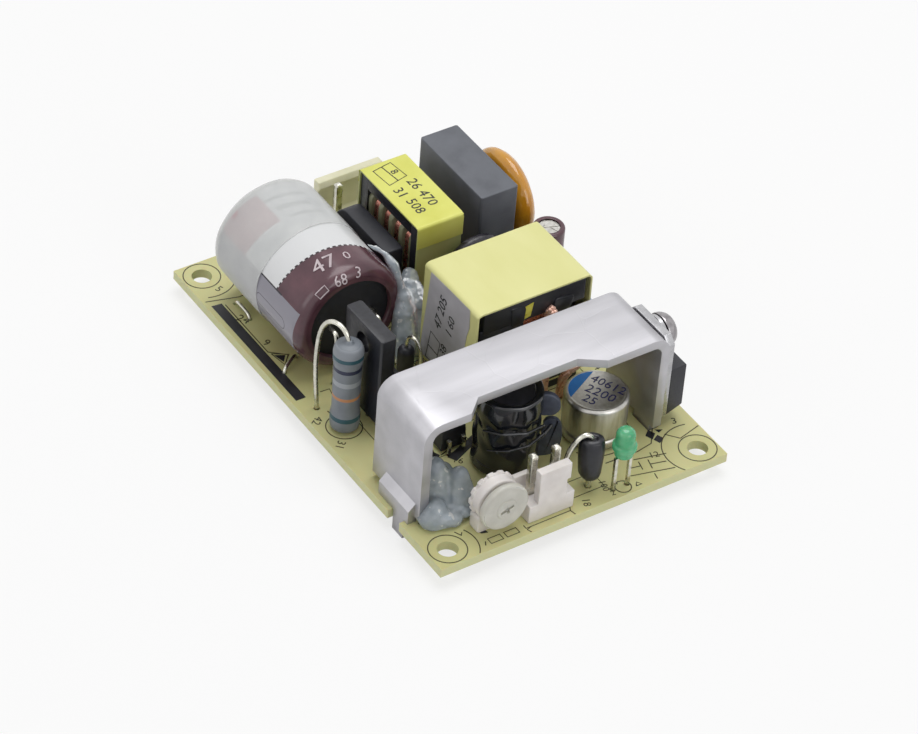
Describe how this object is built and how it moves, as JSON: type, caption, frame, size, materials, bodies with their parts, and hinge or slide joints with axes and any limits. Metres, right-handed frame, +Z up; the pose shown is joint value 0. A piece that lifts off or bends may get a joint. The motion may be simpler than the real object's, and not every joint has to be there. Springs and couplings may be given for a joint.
{
  "type": "open frame power supply",
  "caption": "Open frame switching power supply on a bare board, with a folded sheet heatsink, pin headers, capacitors, a taped transformer and a trimmer that turns.",
  "frame": {"origin": "centre of the four mounting holes, on the board's underside", "axes": "+X along the board towards the output header and lamp, +Y across the board, +Z up out of the component side"},
  "size_m": [0.0762, 0.0508, 0.0235],
  "materials": {
    "board_laminate": "lacquered glass and paper laminate",
    "solder": "bright solder",
    "tinned_wire": "tinned copper",
    "plated_steel": "bright nickel plate",
    "heatsink_aluminium": "satin rolled sheet",
    "can_aluminium": "drawn aluminium",
    "bung_rubber": "matt",
    "brown_shrink_sleeve": "glossy shrink sleeve",
    "clear_insulating_film": "milky translucent film",
    "resistor_lacquer": "lacquer",
    "black_epoxy": "moulded epoxy",
    "ferrite": "ground ferrite",
    "black_phenolic": "moulded phenolic",
    "enamelled_copper": "enamelled copper wire",
    "yellow_tape": "polyester tape",
    "grey_plastic": "moulded polyester case",
    "orange_epoxy": "dipped epoxy",
    "black_coating": "dipped silicone coat",
    "blue_epoxy": "dipped epoxy",
    "white_nylon": "moulded nylon",
    "milky_plastic": "milky moulded plastic",
    "black_shrink_tube": "shrink tube",
    "green_lens": "diffused green epoxy",
    "chip_ceramic": "thick film on ceramic",
    "clear_silicone": "translucent silicone"
  },
  "bodies": {
    "board": {"auxiliary_capacitor_can": "can_aluminium", "auxiliary_capacitor_sleeve": "brown_shrink_sleeve", "bridge_rectifier_body": "black_epoxy", "bridge_rectifier_leads": "tinned_wire", "bulk_capacitor_bung": "bung_rubber", "bulk_capacitor_can": "can_aluminium", "bulk_capacitor_insulating_cup": "clear_insulating_film", "bulk_capacitor_leads": "tinned_wire", "bulk_capacitor_sleeve": "brown_shrink_sleeve", "chip_legs": "tinned_wire", "chip_resistors": "chip_ceramic", "circuit_board": "board_laminate", "clamp_diode_body": "black_epoxy", "clamp_diode_leads": "tinned_wire", "controller_chip_body": "black_epoxy", "film_capacitor_case": "grey_plastic", "fuse_body": "black_epoxy", "heatsink": "heatsink_aluminium", "inlet_header_housing": "white_nylon", "inlet_header_pins": "tinned_wire", "inrush_thermistor_disc": "black_coating", "line_choke_bobbin": "black_phenolic", "line_choke_core": "ferrite", "line_choke_tape": "yellow_tape", "line_choke_windings": "enamelled_copper", "optocoupler_body": "black_epoxy", "output_capacitor_bung": "bung_rubber", "output_capacitor_can": "can_aluminium", "output_choke_core": "ferrite", "output_choke_leads": "tinned_wire", "output_choke_tube": "black_shrink_tube", "output_choke_winding": "enamelled_copper", "output_diode_body": "black_epoxy", "output_diode_leads": "tinned_wire", "output_header_housing": "white_nylon", "output_header_pins": "tinned_wire", "output_rectifier_body": "black_epoxy", "output_rectifier_tab": "plated_steel", "power_device_leads": "tinned_wire", "power_lamp_leads": "tinned_wire", "power_lamp_lens": "green_lens", "radial_part_leads": "tinned_wire", "rectifier_screw": "plated_steel", "rectifier_spring_washer": "plated_steel", "safety_capacitor_disc": "blue_epoxy", "silicone_beads": "clear_silicone", "solder_joints": "solder", "startup_resistor_body": "resistor_lacquer", "startup_resistor_leads": "tinned_wire", "switching_transistor_body": "black_epoxy", "transformer_bobbin": "black_phenolic", "transformer_core": "ferrite", "transformer_flying_leads": "enamelled_copper", "transformer_tape": "yellow_tape", "transformer_windings": "enamelled_copper", "trimmer_body": "white_nylon", "varistor_disc": "orange_epoxy", "winding_pins": "tinned_wire", "wire_links": "tinned_wire"},
    "trimmer": {"trimmer_rotor": "milky_plastic"}
  },
  "joints": [
    {"name": "trimmer_turn", "type": "hinge", "parent": "board", "child": "trimmer", "pos_m": [0.0346, -0.01345, 0.00675], "axis": [1, 0, 0], "range_deg": [-120, 120]}
  ]
}
